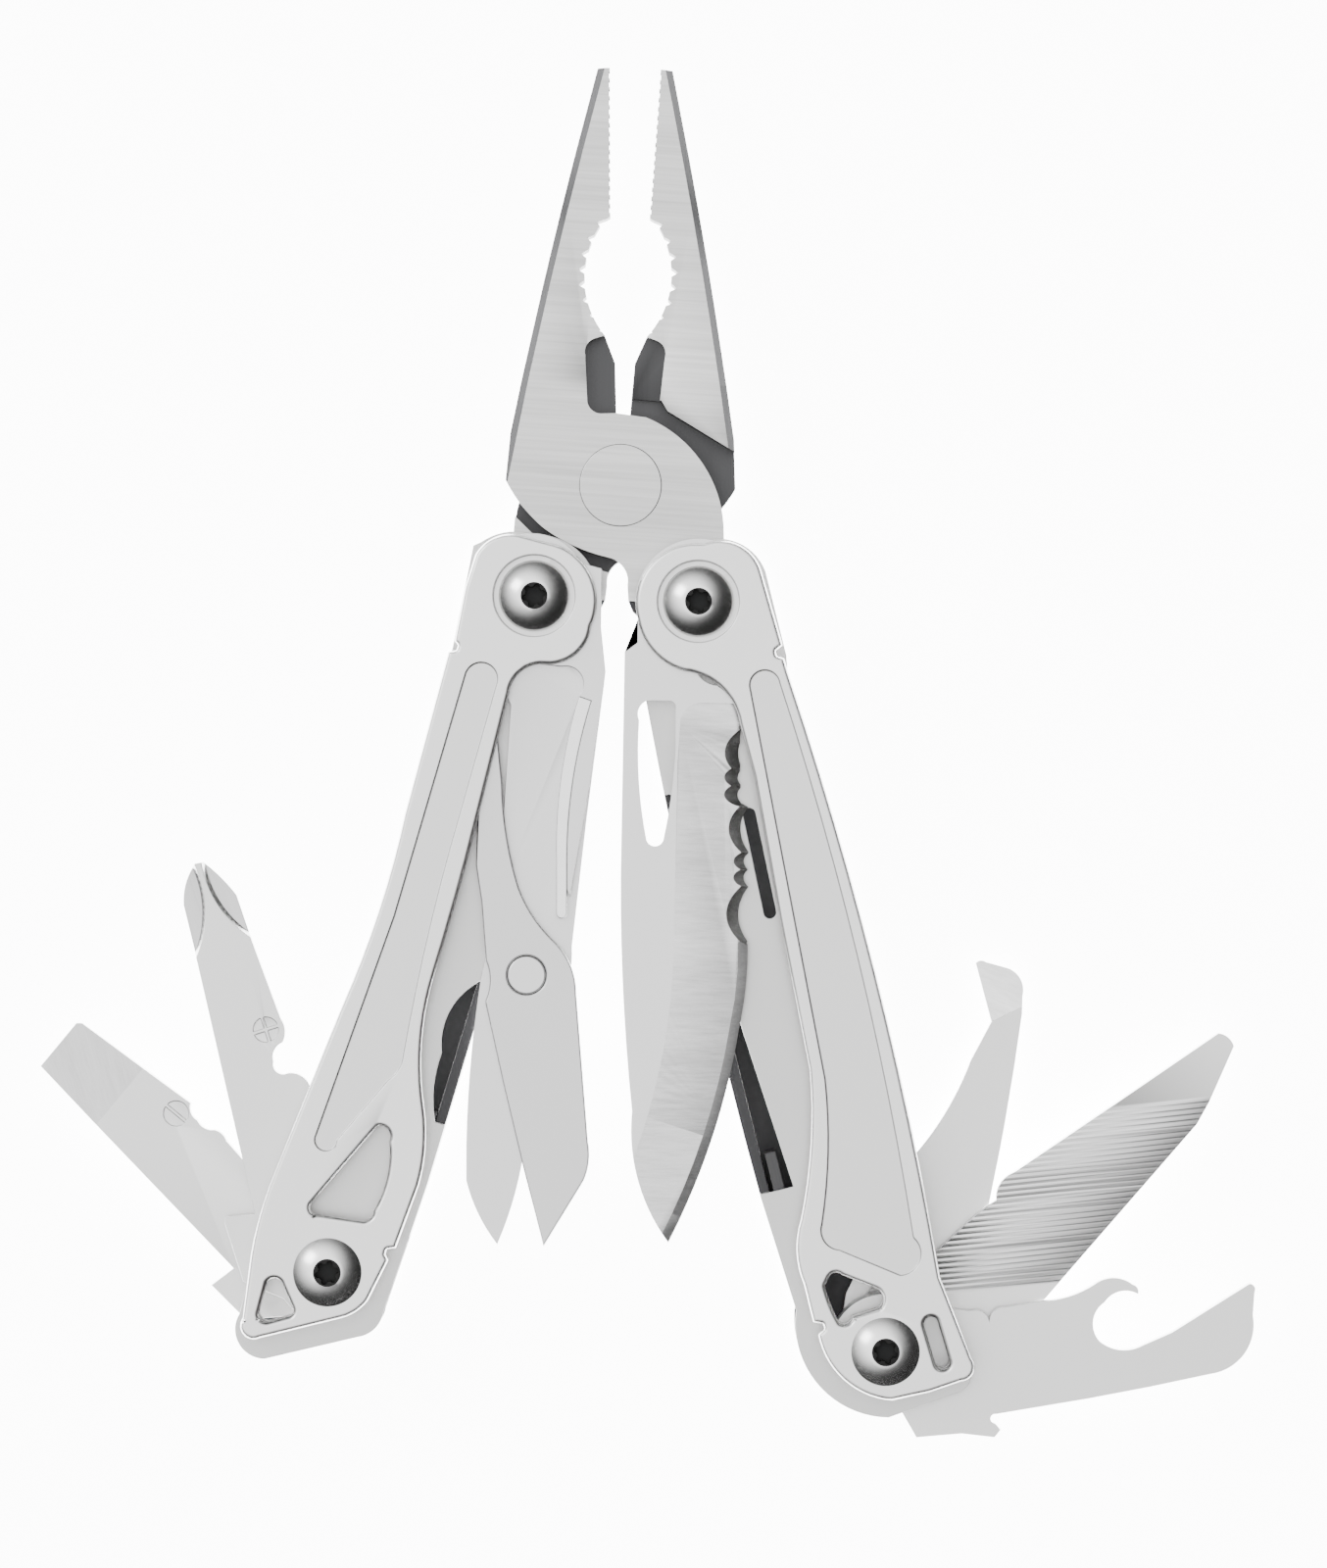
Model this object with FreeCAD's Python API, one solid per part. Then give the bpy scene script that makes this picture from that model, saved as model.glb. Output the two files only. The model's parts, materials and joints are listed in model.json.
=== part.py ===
import FreeCAD, Part
import math
import os
from FreeCAD import Vector

# Folding multi tool lying on its back, opened out with its blades fanned.
# Flat plates stacked along Z; +Y runs from the handles to the jaw tips.
# Each handle, blade and driver is drawn in a frame of its own: the origin
# is on its pivot, y runs along it and x points to the outer side of the tool.

# ---- sizes that drive the model (mm, degrees) ----
JAW_REACH = 46.2          # jaw pivot to jaw tips
JAW_THICK = 8.2           # jaws at the pivot, and the tangs
JAW_TIP_THICK = 3.0       # jaws at the tips
JAW_OPEN = 3.35           # each jaw turned from closed
TANG_OUT = 8.25           # handle pivots from the jaw pivot, jaws closed
TANG_DOWN = 13.1
RIGHT_REACH = 84.7        # top pivot to end pivot, right handle
LEFT_REACH = 77.5         # the same, left handle
RIGHT_SPREAD = 16.0       # right handle from the tool's axis
LEFT_SPREAD = 15.0
SHEET = 1.2               # cover and back plate
WALL = 1.0                # wall between the two pockets of a handle
FLANGE = 0.9              # turned edge of the cover
KNIFE_THICK = 2.8
KNIFE_LEAN = 1.1          # knife from the tool's axis
SCISSOR_LEAN = 2.0
TURN_OUT = {"phillips": 34.7, "flat": 67.3, "package": 33.8, "file": 62.2, "can": 94.6}

# ---- fits ----
RUN = 0.05                # radial clearance of a turning fit, and between sliding faces
BLADE_ROOM = KNIFE_THICK + 2 * RUN    # outer pocket, between wall and cover
JAW_SIDE = 0.1            # jaw side to handle plate

# ---- pivots ----
NUT_HEAD = 1.0
NUT_HEAD_R = 4.0
TOP_BARREL_R = 2.5
END_BARREL_R = 2.2
BUSH_WALL = 0.8
SCREW_R = 1.6
TOP_HEAD_R = 3.9
END_HEAD_R = 4.05
HEAD_RISE = 1.6
RIVET_R = 4.55

# ---- the stack along Z ----
Z_BACK = NUT_HEAD
Z_ROOM = Z_BACK + SHEET
Z_WALL = Z_ROOM + JAW_THICK + 2 * JAW_SIDE
Z_BLADE = Z_WALL + WALL
Z_COVER = Z_BLADE + BLADE_ROOM
Z_TOP = Z_COVER + SHEET
Z_JAW = Z_ROOM + JAW_SIDE
Z_MID = Z_JAW + JAW_THICK / 2
Z_JAW_TOP = Z_JAW + JAW_THICK

ORIGIN = Vector(0, 0, 0)
UP = Vector(0, 0, 1)


def wire(start, *steps):
    """Closed outline: a step is a corner (x, y) or an arc ((mid x, mid y), (x, y))."""
    edges = []
    here = Vector(start[0], start[1], 0)
    for step in list(steps) + [start]:
        curved = isinstance(step[0], tuple)
        end = step[1] if curved else step
        there = Vector(end[0], end[1], 0)
        if there.distanceToPoint(here) < 1e-6:
            continue
        if curved:
            middle = Vector(step[0][0], step[0][1], 0)
            edges.append(Part.Arc(here, middle, there).toShape())
        else:
            edges.append(Part.makeLine(here, there))
        here = there
    return Part.Wire(edges)


def plate(z0, z1, start, *steps):
    """Flat plate of the given outline between two heights."""
    face = Part.Face(wire(start, *steps))
    face.translate(Vector(0, 0, z0))
    return face.extrude(Vector(0, 0, z1 - z0))


def disc(x, y, radius, z0, z1):
    return Part.makeCylinder(radius, z1 - z0, Vector(x, y, z0))


def ring(x, y, outer, inner, z0, z1):
    return disc(x, y, outer, z0, z1).cut(disc(x, y, inner, z0 - 1, z1 + 1))


def slot(x0, y0, x1, y1, radius, z0, z1):
    """Round-ended slot between two centres."""
    length = math.hypot(x1 - x0, y1 - y0)
    nx = (y1 - y0) / length * radius
    ny = -(x1 - x0) / length * radius
    bar = plate(z0, z1, (x0 + nx, y0 + ny), (x1 + nx, y1 + ny), (x1 - nx, y1 - ny), (x0 - nx, y0 - ny))
    return bar.fuse([disc(x0, y0, radius, z0, z1), disc(x1, y1, radius, z0, z1)]).removeSplitter()


def block(x0, x1, y0, y1, z0, z1):
    return Part.makeBox(x1 - x0, y1 - y0, z1 - z0, Vector(x0, y0, z0))


def side_prism(points, x0, x1):
    """Solid whose outline is drawn in y and z and runs along x."""
    corners = [Vector(x0, y, z) for y, z in points]
    face = Part.Face(Part.makePolygon(corners + [corners[0]]))
    return face.extrude(Vector(x1 - x0, 0, 0))


def joined(first, *others):
    return first.fuse(list(others)).removeSplitter()


def turned(shape, angle):
    result = shape.copy()
    result.rotate(ORIGIN, UP, angle)
    return result


def moved(shape, x, y):
    result = shape.copy()
    result.translate(Vector(x, y, 0))
    return result


def mirrored(shape):
    return shape.mirror(ORIGIN, Vector(1, 0, 0))


def about(point, angle):
    """A point (x, y) turned about the jaw pivot."""
    c = math.cos(math.radians(angle))
    s = math.sin(math.radians(angle))
    return (point[0] * c - point[1] * s, point[0] * s + point[1] * c)


RIGHT_PIVOT = about((TANG_OUT, -TANG_DOWN), JAW_OPEN)
LEFT_PIVOT = about((-TANG_OUT, -TANG_DOWN), -JAW_OPEN)


def on_right(shape):
    """From the right handle's frame to the tool."""
    return moved(turned(shape, RIGHT_SPREAD), *RIGHT_PIVOT)


def on_left(shape):
    """From the left handle's frame, whose x points left, to the tool."""
    return moved(turned(mirrored(shape), -LEFT_SPREAD), *LEFT_PIVOT)


def fanned(shape, reach, angle):
    """A small tool on the end pivot, swung outward from its place in the handle."""
    return moved(turned(shape, -angle), 0, -reach)


# ---------------------------------------------------------------- jaws
GRIP_TOP = 0.643 * JAW_REACH
GRIP_FOOT = 0.357 * JAW_REACH
CUTTER_FOOT = 7.95
JAW_GAP = 0.12
JAW_BEVEL = 0.75


def jaw_outline(z0, z1):
    """Whole half of the pliers seen from the front, jaws closed on x = 0."""
    return plate(
        z0, z1,
        (-JAW_GAP, JAW_REACH), (-1.45, JAW_REACH),
        ((-7.25, 0.55 * JAW_REACH), (-12.0, 6.1)), (-12.65, 0.9),
        ((-10.9, -2.0), (-8.6, -4.5)), ((-5.4, -6.5), (-1.6, -7.9)),
        ((0.1, -9.0), (0.5, -11.0)), (0.55, 0.4 - TANG_DOWN), (TANG_OUT - 5.4, -TANG_DOWN),
        ((TANG_OUT - 0.6, -TANG_DOWN - 5.37), (TANG_OUT + 5.2, -TANG_DOWN + 1.5)),
        (TANG_OUT + 3.0, 6.0 - TANG_DOWN), (TANG_OUT + 3.0, 8.5 - TANG_DOWN),
        ((8.95, 2.4), (3.0, 7.4)), (-0.3, CUTTER_FOOT), (-0.3, GRIP_FOOT - 2.9),
        (-1.3, GRIP_FOOT),
        ((-3.45, 0.5 * (GRIP_TOP + GRIP_FOOT)), (-1.2, GRIP_TOP - 0.4)),
        (-0.45, GRIP_TOP))


def thin_to_tip(shape):
    """Side taper: full thickness at the pivot, thin at the tips."""
    half = JAW_THICK / 2
    tip = JAW_TIP_THICK / 2
    knee = JAW_REACH - 15.5
    profile = [(-40, Z_MID - half), (12, Z_MID - half), (knee, Z_MID - tip - 0.55),
               (JAW_REACH + 1, Z_MID - tip), (JAW_REACH + 1, Z_MID + tip),
               (knee, Z_MID + tip + 0.55), (12, Z_MID + half), (-40, Z_MID + half)]
    return shape.common(side_prism(profile, -30, 30))


def bevel_outer(body):
    """Wide bevel along the outer side of a jaw, on its front and back faces."""
    picked = []
    for edge in body.Edges:
        middle = edge.CenterOfMass
        on_face = abs(middle.z - Z_MID) > JAW_TIP_THICK / 2 + 0.1
        flat = abs(edge.Vertexes[0].Z - edge.Vertexes[-1].Z) < 0.25 * edge.Length
        if on_face and flat and 8.0 < middle.y < JAW_REACH - 1 and middle.x < -0.8 - 0.2 * (JAW_REACH - middle.y):
            picked.append(edge)
    return body.makeChamfer(JAW_BEVEL, picked)


def notch_row(start, end, count, depth, width):
    """Row of V grooves across the gripping face between two points."""
    grooves = []
    dx = (end[0] - start[0]) / count
    dy = (end[1] - start[1]) / count
    length = math.hypot(dx, dy)
    nx = -dy / length * depth
    ny = dx / length * depth
    for index in range(count):
        x = start[0] + dx * (index + 0.5)
        y = start[1] + dy * (index + 0.5)
        ux = dx / length * width / 2
        uy = dy / length * width / 2
        grooves.append(plate(
            Z_JAW - 1, Z_JAW_TOP + 1,
            (x - ux - nx * 0.3, y - uy - ny * 0.3), (x + nx, y + ny),
            (x + ux - nx * 0.3, y + uy - ny * 0.3)))
    return grooves


def grip_notches():
    """Coarse grooves set along the curved pipe grip."""
    centre_y = 0.5 * (GRIP_TOP + GRIP_FOOT)
    grooves = []
    for index in range(8):
        along = (index - 3.5) / 3.5
        y = centre_y + along * 0.5 * (GRIP_TOP - GRIP_FOOT - 2.0)
        x = -3.45 + 2.1 * along * along
        lean = math.radians(35) * along
        tip = (x - 0.75 * math.cos(lean), y + 0.75 * math.sin(lean))
        grooves.append(plate(
            Z_JAW - 1, Z_JAW_TOP + 1,
            (x + 0.4, y - 0.75), tip, (x + 0.4, y + 0.75)))
    return grooves


def cutter_relief(z0, z1):
    """Pocket beside the wire-cutting edge."""
    return plate(
        z0, z1,
        (0.5, CUTTER_FOOT), (-2.0, CUTTER_FOOT), ((-3.1, 8.5), (-3.45, 9.6)),
        (-3.55, GRIP_FOOT - 2.0), ((-3.4, GRIP_FOOT - 1.0), (-2.6, GRIP_FOOT - 0.3)),
        (-1.2, GRIP_FOOT + 0.1), (-0.3, GRIP_FOOT - 2.9), (0.5, GRIP_FOOT - 2.9))


def jaw_half():
    """One half of the pliers: its boss fills the front half of the thickness."""
    blade_zone = plate(
        Z_JAW, Z_JAW_TOP,
        (-16, 3.4), (-11.6, 5.1), (-4.4, 8.6), (-3.6, 9.7), (2, 9.7), (2, 60), (-16, 60))
    tang_zone = plate(
        Z_JAW, Z_JAW_TOP,
        (15.5, -2.6), (12.3, -3.6), (7.7, -7.4), (1.0, -9.6), (-3, -10.2), (-3, -24), (15.5, -24))
    front = jaw_outline(Z_MID + RUN / 2, Z_JAW_TOP)
    whole = jaw_outline(Z_JAW, Z_JAW_TOP)
    body = joined(front, whole.common(blade_zone), whole.common(tang_zone))
    body = bevel_outer(thin_to_tip(body))
    fine = notch_row((-JAW_GAP, JAW_REACH - 0.3), (-0.45, GRIP_TOP + 0.3), 16, 0.34, 0.8)
    body = body.cut(fine + grip_notches())
    body = body.cut(cutter_relief(Z_MID + 1.3, Z_JAW_TOP + 1))
    body = body.cut(cutter_relief(Z_JAW - 1, Z_MID - 1.3))
    return body.cut(disc(TANG_OUT, -TANG_DOWN, TOP_BARREL_R + RUN, 0, 30))


def left_jaw():
    return turned(jaw_half().cut(disc(0, 0, RIVET_R, 0, 30)), JAW_OPEN)


def right_jaw():
    """The same half turned over about the tool's axis."""
    body = jaw_half()
    body.rotate(Vector(0, 0, Z_MID), Vector(0, 1, 0), 180)
    return turned(body.cut(disc(0, 0, RIVET_R + RUN, 0, 30)), -JAW_OPEN)


def jaw_rivet():
    """Flush rivet: fixed in the front half, turning in the rear one."""
    return disc(0, 0, RIVET_R, Z_JAW, Z_JAW_TOP)


def tang_spring():
    """Bent leaf fixed in the inner side of a tang, in the closed jaw's frame."""
    foot = 0.4 - TANG_DOWN
    leaf = plate(
        Z_MID - 1.9, Z_MID + 1.9,
        (0.55, foot), (TANG_OUT - 5.3, foot), (TANG_OUT - 4.7, foot - 2.6),
        (TANG_OUT - 5.4, foot - 4.6), (TANG_OUT - 6.4, foot - 4.4), (TANG_OUT - 6.0, foot - 2.4),
        (1.0, foot - 1.2))
    return leaf.cut(jaw_outline(Z_JAW, Z_JAW_TOP))


# ---------------------------------------------------------------- handles
def right_cover_outline(z0, z1):
    end = -RIGHT_REACH
    return plate(
        z0, z1,
        (7.6, -8.3), (6.9, -7.9), (6.9, -7.3), (7.8, -6.9), (7.5, 1.7),
        ((6.3, 4.5), (2.1, 6.0)), ((-4.8, 4.7), (-6.9, -0.3)), ((-6.1, -4.2), (-3.4, -7.0)),
        ((0.1, -9.7), (1.2, -14.0)), (1.3, -20.0),
        ((0.1, end + 46.5), (-0.6, end + 32.0)), ((-2.7, end + 23.3), (-5.5, end + 16.3)),
        ((-6.8, end + 13.0), (-6.9, end + 9.3)), (-6.9, end + 5.0), (-5.9, end + 4.6),
        (-5.9, end + 4.0), (-6.7, end + 3.6), ((-5.2, end - 1.9), (-0.6, end - 5.4)),
        (3.6, end - 5.5), (7.3, end - 5.2), ((8.8, end - 4.6), (9.0, end - 3.0)),
        (7.8, end + 6.5), ((9.05, 0.53 * end), (7.7, -10.3)))


def left_cover_outline(z0, z1):
    end = -LEFT_REACH
    return plate(
        z0, z1,
        (7.2, -8.6), (6.4, -8.2), (6.4, -7.6), (6.9, -7.3), (7.5, -1.4), (7.5, 2.4),
        ((6.3, 4.6), (3.6, 5.9)), (0.5, 6.0), ((-5.1, 4.2), (-6.95, -1.4)),
        ((-6.2, -4.9), (-3.4, -6.8)), ((-1.1, -8.3), (-0.5, -11.0)), (-1.0, -21.0),
        ((-1.6, 0.44 * end), (-1.7, end + 34.5)), ((-2.7, end + 26.5), (-4.9, end + 20.3)),
        ((-6.4, end + 15.7), (-6.8, end + 11.9)), (-6.4, end + 4.7), (-5.5, end + 4.3),
        (-5.5, end + 3.7), (-6.0, end + 3.2), (-5.2, end - 1.6), ((-4.3, end - 3.2), (-2.9, end - 4.4)),
        (5.0, end - 9.1), ((6.7, end - 9.3), (7.4, end - 7.5)), (8.6, end - 0.5),
        ((8.95, end + 4.5), (8.8, end + 8.3)), (7.0, end + 28.5), ((6.25, 0.49 * end), (6.6, -27.0)))


def right_channel_outline(z0, z1):
    """Wall and back plate: wider than the cover on the inner side and at the end."""
    end = -RIGHT_REACH
    return plate(
        z0, z1,
        (8.0, -8.0), (8.0, 1.5), ((6.3, 4.9), (2.0, 6.4)), ((-4.7, 4.9), (-6.9, -0.3)),
        ((-7.2, -4.6), (-8.2, -9.0)), ((-9.4, 0.55 * end), (-9.2, end + 19.6)),
        (-8.4, end + 6.5), ((-6.2, end - 4.6), (-1.4, end - 7.4)),
        (6.4, end - 6.6), ((8.2, end - 5.8), (8.6, end - 4.0)), (7.6, end + 6.5),
        ((8.75, 0.53 * end), (7.6, -10.3)))


def left_channel_outline(z0, z1):
    end = -LEFT_REACH
    return plate(
        z0, z1,
        (7.0, -8.0), (8.1, 3.4), (7.4, 4.0), ((5.2, 5.8), (2.0, 6.5)), ((-5.3, 4.6), (-6.9, -0.8)),
        (-7.4, -8.8), (-7.6, end + 12.0), (-7.1, end - 2.7), ((-6.6, end - 4.9), (-5.2, end - 6.1)),
        (3.9, end - 11.4), ((6.9, end - 10.8), (8.0, end - 7.4)), (8.5, end + 4.5),
        (6.8, end + 28.5), ((6.0, 0.49 * end), (6.3, -27.0)))


def right_panel(z0, z1):
    """Shallow sunk field of the right cover."""
    end = -RIGHT_REACH
    return plate(
        z0, z1,
        (3.2, -10.4), ((4.8, -9.0), (6.5, -10.8)), ((7.5, 0.42 * end), (6.0, end + 11.4)),
        ((5.3, end + 8.0), (3.6, end + 7.7)), (-2.2, end + 12.0),
        ((-3.6, end + 13.4), (-3.4, end + 15.2)), ((-0.9, end + 22.4), (0.8, end + 30.6)),
        (2.2, -26.7))


def left_panel(z0, z1):
    end = -LEFT_REACH
    return plate(
        z0, z1,
        (4.7, -10.5), ((2.9, -8.6), (1.1, -10.2)), (0.8, -25.0),
        ((0.1, 0.53 * end), (-1.1, end + 24.5)), ((-0.9, end + 23.2), (-0.2, end + 22.0)),
        (3.2, end + 14.1), ((4.4, end + 12.6), (5.6, end + 14.0)), (5.0, end + 26.5),
        (4.4, end + 39.5))


def right_window(z0, z1):
    """Three-cornered opening above the end pivot."""
    end = -RIGHT_REACH
    return plate(
        z0, z1,
        (-4.1, end + 9.3), ((-3.4, end + 9.7), (-2.6, end + 9.3)), (0.6, end + 7.0),
        ((1.2, end + 5.9), (0.5, end + 4.7)), (-2.6, end + 4.5), ((-3.6, end + 3.9), (-4.2, end + 4.4)),
        ((-4.5, end + 6.0), (-4.7, end + 8.6)))


def left_window(z0, z1):
    end = -LEFT_REACH
    return plate(
        z0, z1,
        (-0.6, end + 16.9), ((-1.5, end + 17.0), (-2.3, end + 15.7)),
        ((-3.2, end + 12.0), (-2.9, end + 7.9)), ((-2.7, end + 6.9), (-1.8, end + 6.4)),
        (2.8, end + 5.7), ((3.7, end + 5.9), (3.8, end + 6.8)))


def left_lanyard(z0, z1):
    """Rounded three-cornered hole at the left handle's end."""
    end = -LEFT_REACH
    return plate(
        z0, z1,
        (4.3, end - 2.7), ((5.2, end - 2.3), (6.0, end - 3.0)), (5.9, end - 6.3),
        ((5.5, end - 7.1), (4.7, end - 7.2)), (2.6, end - 5.9), ((2.3, end - 5.3), (2.5, end - 4.8)))


def flange_of(outline, region):
    """Turned edge of a cover: the rim of its outline, kept where the region lies."""
    floor = outline(Z_BLADE + RUN, Z_COVER)
    base = [face for face in floor.Faces if abs(face.CenterOfMass.z - Z_COVER) < 1e-6][0]
    inner = base.makeOffset2D(-FLANGE)
    hollow = inner.extrude(Vector(0, 0, -2 * BLADE_ROOM))
    return floor.cut(hollow).common(region)


def pivot_hole(y, radius):
    return disc(0, y, radius, -1, Z_TOP + 5)


def head_seat(y, radius):
    """Counterbore in the cover for a screw head."""
    return disc(0, y, radius, Z_TOP - 0.5, Z_TOP + 1)


def right_cover():
    end = -RIGHT_REACH
    sheet = right_cover_outline(Z_COVER, Z_TOP)
    region = plate(0, 30, (5, -9.0), (5, end + 6), (-4, end - 3.4), (-4, end - 12), (14, end - 12), (14, -9.0))
    body = joined(sheet, flange_of(right_cover_outline, region))
    body = body.cut([right_panel(Z_TOP - 0.3, Z_TOP + 1), right_window(Z_COVER - 1, Z_TOP + 1),
                     slot(5.6, end + 1.7, 5.8, end - 2.7, 0.8, Z_COVER - 1, Z_TOP + 1),
                     pivot_hole(0, TOP_BARREL_R), pivot_hole(end, END_BARREL_R),
                     head_seat(0, TOP_HEAD_R + 0.6)])
    return body


def left_cover():
    end = -LEFT_REACH
    sheet = left_cover_outline(Z_COVER, Z_TOP)
    region = plate(0, 30, (4, -9.4), (4, end + 6), (-3, end - 2.5), (-3, end - 14), (14, end - 14), (14, -9.4))
    body = joined(sheet, flange_of(left_cover_outline, region))
    body = body.cut([left_panel(Z_TOP - 0.3, Z_TOP + 1), left_window(Z_COVER - 1, Z_TOP + 1),
                     left_lanyard(Z_COVER - 1, Z_TOP + 1),
                     pivot_hole(0, TOP_BARREL_R), pivot_hole(end, END_BARREL_R),
                     head_seat(0, TOP_HEAD_R + 0.6)])
    return body


def channel(outline, reach, web_x, bottom, wall_cuts):
    """U channel: back plate, web on the inner side and pocket wall, open outward."""
    back = outline(Z_BACK, Z_ROOM)
    wall = outline(Z_WALL, Z_BLADE)
    web_zone = block(-20, web_x, bottom - reach, -9.6, 0, 30)
    web = outline(Z_ROOM, Z_WALL).common(web_zone)
    body = joined(back, wall, web)
    hole = TOP_BARREL_R + RUN + BUSH_WALL + RUN
    cuts = [disc(0, 0, hole, Z_WALL - 1, Z_BLADE + 1), disc(0, 0, TOP_BARREL_R, 0, Z_ROOM + 1),
            pivot_hole(-reach, END_BARREL_R)]
    return body.cut(cuts + wall_cuts)


def right_channel():
    end = -RIGHT_REACH
    gap = plate(Z_WALL - 0.8, Z_BLADE + 1, (-12, -19.0), (-7.0, -20.0), (-6.7, end + 38.0), (-5.4, end + 19.8), (-12, end + 19.8))
    window = right_window(Z_WALL - 1, Z_BLADE + 1)
    slit = slot(5.6, end + 1.7, 5.8, end - 2.7, 0.8, Z_WALL - 1, Z_BLADE + 1)
    nail = slot(-0.2, -24.0, -0.6, -35.0, 0.7, Z_WALL - 1, Z_BLADE + 1)
    return channel(right_channel_outline, RIGHT_REACH, -8.1, 6.5, [gap, window, slit, nail])


def left_channel():
    end = -LEFT_REACH
    nail = plate(
        Z_WALL - 0.8, Z_BLADE + 1,
        (-12, end + 35.6), (-7.0, end + 35.6), ((-5.2, end + 33.4), (-4.9, end + 26.5)),
        ((-5.3, end + 22.0), (-6.4, end + 19.0)), (-12, end + 19.0))
    lanyard = left_lanyard(-1, Z_BLADE + 1)
    return channel(left_channel_outline, LEFT_REACH, -6.4, 6.0, [nail, lanyard])


def lobed_socket(y, z0, z1):
    """Six-lobed driver socket."""
    lobes = [disc(0, y, 0.98, z0, z1)]
    for index in range(6):
        angle = math.radians(60 * index + 30)
        lobes.append(disc(1.02 * math.cos(angle), y + 1.02 * math.sin(angle), 0.32, z0, z1))
    return lobes


def screw(y, head_r, seat):
    """Domed pivot screw: head on the cover, shank down inside the nut's barrel."""
    base = Z_TOP - seat
    sphere_r = (head_r ** 2 + HEAD_RISE ** 2) / (2 * HEAD_RISE)
    top = Z_TOP + HEAD_RISE - 0.25
    dome = Part.makeSphere(sphere_r, Vector(0, y, top - sphere_r))
    head = disc(0, y, head_r, base, top + 1).common(dome)
    head = joined(head, disc(0, y, SCREW_R, Z_COVER - 7.0, base + 0.1))
    flat = disc(0, y, head_r, top - 0.2, top + 2)
    return head.cut(lobed_socket(y, top - 1.5, top + 1) + [flat])


def nut(y, barrel_r, seat):
    """Barrel nut: flat head behind the back plate, barrel through the whole stack."""
    body = joined(disc(0, y, NUT_HEAD_R, 0, NUT_HEAD), disc(0, y, barrel_r, 0, Z_TOP - seat))
    return body.cut(disc(0, y, SCREW_R, Z_COVER - 7.0, Z_TOP + 1))


def bush():
    inner = TOP_BARREL_R + RUN
    return ring(0, 0, inner + BUSH_WALL, inner, Z_WALL + RUN, Z_COVER - RUN)


def back_spring(reach, x0, x1, top):
    """Leaf spring bar lying on the web, split into three fingers over the tools."""
    bar = block(x0, x1, 3.0 - reach, top, Z_ROOM + 0.2, Z_WALL - 0.2)
    third = (Z_WALL - Z_ROOM) / 3
    slits = []
    for index in (1, 2):
        z = Z_ROOM + third * index
        slits.append(block(x0 - 1, x1 + 1, 2.0 - reach, top - 6.0, z - 0.15, z + 0.15))
    return bar.cut(slits)


# ---------------------------------------------------------------- knife
KNIFE_Z0 = Z_BLADE + RUN
KNIFE_Z1 = KNIFE_Z0 + KNIFE_THICK
KNIFE_MID = KNIFE_Z0 + KNIFE_THICK / 2
EDGE_ARCS = [((6.0, -37.3), (5.9, -41.8), (5.2, -46.8), 3), ((5.2, -46.8), (2.4, -59.0), (-2.2, -70.4), 8)]
SCALLOPS = [(-34.2, 6.2, 1.1), (-30.2, 1.8, 0.5), (-28.4, 1.8, 0.5), (-24.8, 5.4, 1.0),
            (-21.1, 1.9, 0.5), (-19.2, 1.9, 0.5), (-16.5, 3.5, 0.5)]
SCALLOP_LEAN = 35.0
GRIND_WIDTH = 9.6


def knife_blade():
    """Part-serrated blade on its bush; the cutting edge faces the right handle."""
    body = plate(
        KNIFE_Z0, KNIFE_Z1,
        (-6.6, -4.6), (-8.0, -5.7), (-8.05, -26.6), ((-7.7, -41.0), (-6.4, -56.0)),
        ((-5.8, -63.0), (-2.2, -70.4)), ((2.4, -59.0), (5.2, -46.8)), ((5.9, -41.8), (6.0, -37.3)),
        (5.9, -22.1), (5.0, -22.1), (4.8, -14.8), ((4.0, -11.0), (2.2, -9.2)),
        ((-0.2, -7.5), (4.6, -5.2)), ((6.9, 0.4), (0.0, 6.9)), ((-5.6, 4.0), (-6.6, -2.0)))
    hole = plate(
        KNIFE_Z0 - 1, KNIFE_Z1 + 1,
        (-5.4, -10.9), (-3.1, -10.9), ((-2.5, -11.1), (-2.3, -11.8)), (-2.25, -16.2),
        ((-2.6, -21.0), (-3.4, -26.0)), ((-4.25, -26.9), (-5.3, -26.2)), ((-6.2, -20.0), (-6.3, -13.1)),
        ((-6.1, -11.4), (-5.4, -10.9)))
    zone = grind_zone(KNIFE_Z0 - 1, KNIFE_Z1 + 1)
    cuts = [hole]
    for first, middle, last, count in EDGE_ARCS:
        arc = Part.Arc(Vector(*first, 0), Vector(*middle, 0), Vector(*last, 0)).toShape()
        points = arc.discretize(count + 1)
        for start, end in zip(points, points[1:]):
            lean = math.degrees(math.atan2(start.x - end.x, start.y - end.y))
            for side in (1, -1):
                cuts.append(zone.common(hollow(start, lean, side)))
                cuts.append(edge_bevel(start, lean, (end - start).Length, side))
    cuts += [scallop(*each) for each in SCALLOPS]
    return body.cut(cuts).cut(disc(0, 0, TOP_BARREL_R + RUN + BUSH_WALL, 0, 30))


def leaning(points, place, lean, back, ahead):
    """Solid with its profile across the edge at a point, running along the edge both ways."""
    corners = [Vector(across, -ahead, KNIFE_MID + height) for across, height in points]
    face = Part.Face(Part.makePolygon(corners + [corners[0]]))
    solid = face.extrude(Vector(0, ahead + back, 0))
    solid.rotate(ORIGIN, UP, -lean)
    solid.translate(place)
    return solid


def hollow(place, lean, side):
    """Ground side of the blade, full near the spine and thin along one stretch of edge."""
    half = KNIFE_THICK / 2
    slope = (half - 0.25) / GRIND_WIDTH
    points = [(-16, 0.25 + 16 * slope), (0, 0.25), (12, 0.25), (12, half + 1), (-16, half + 1)]
    return leaning([(across, side * height) for across, height in points], place, lean, 60, 60)


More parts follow.
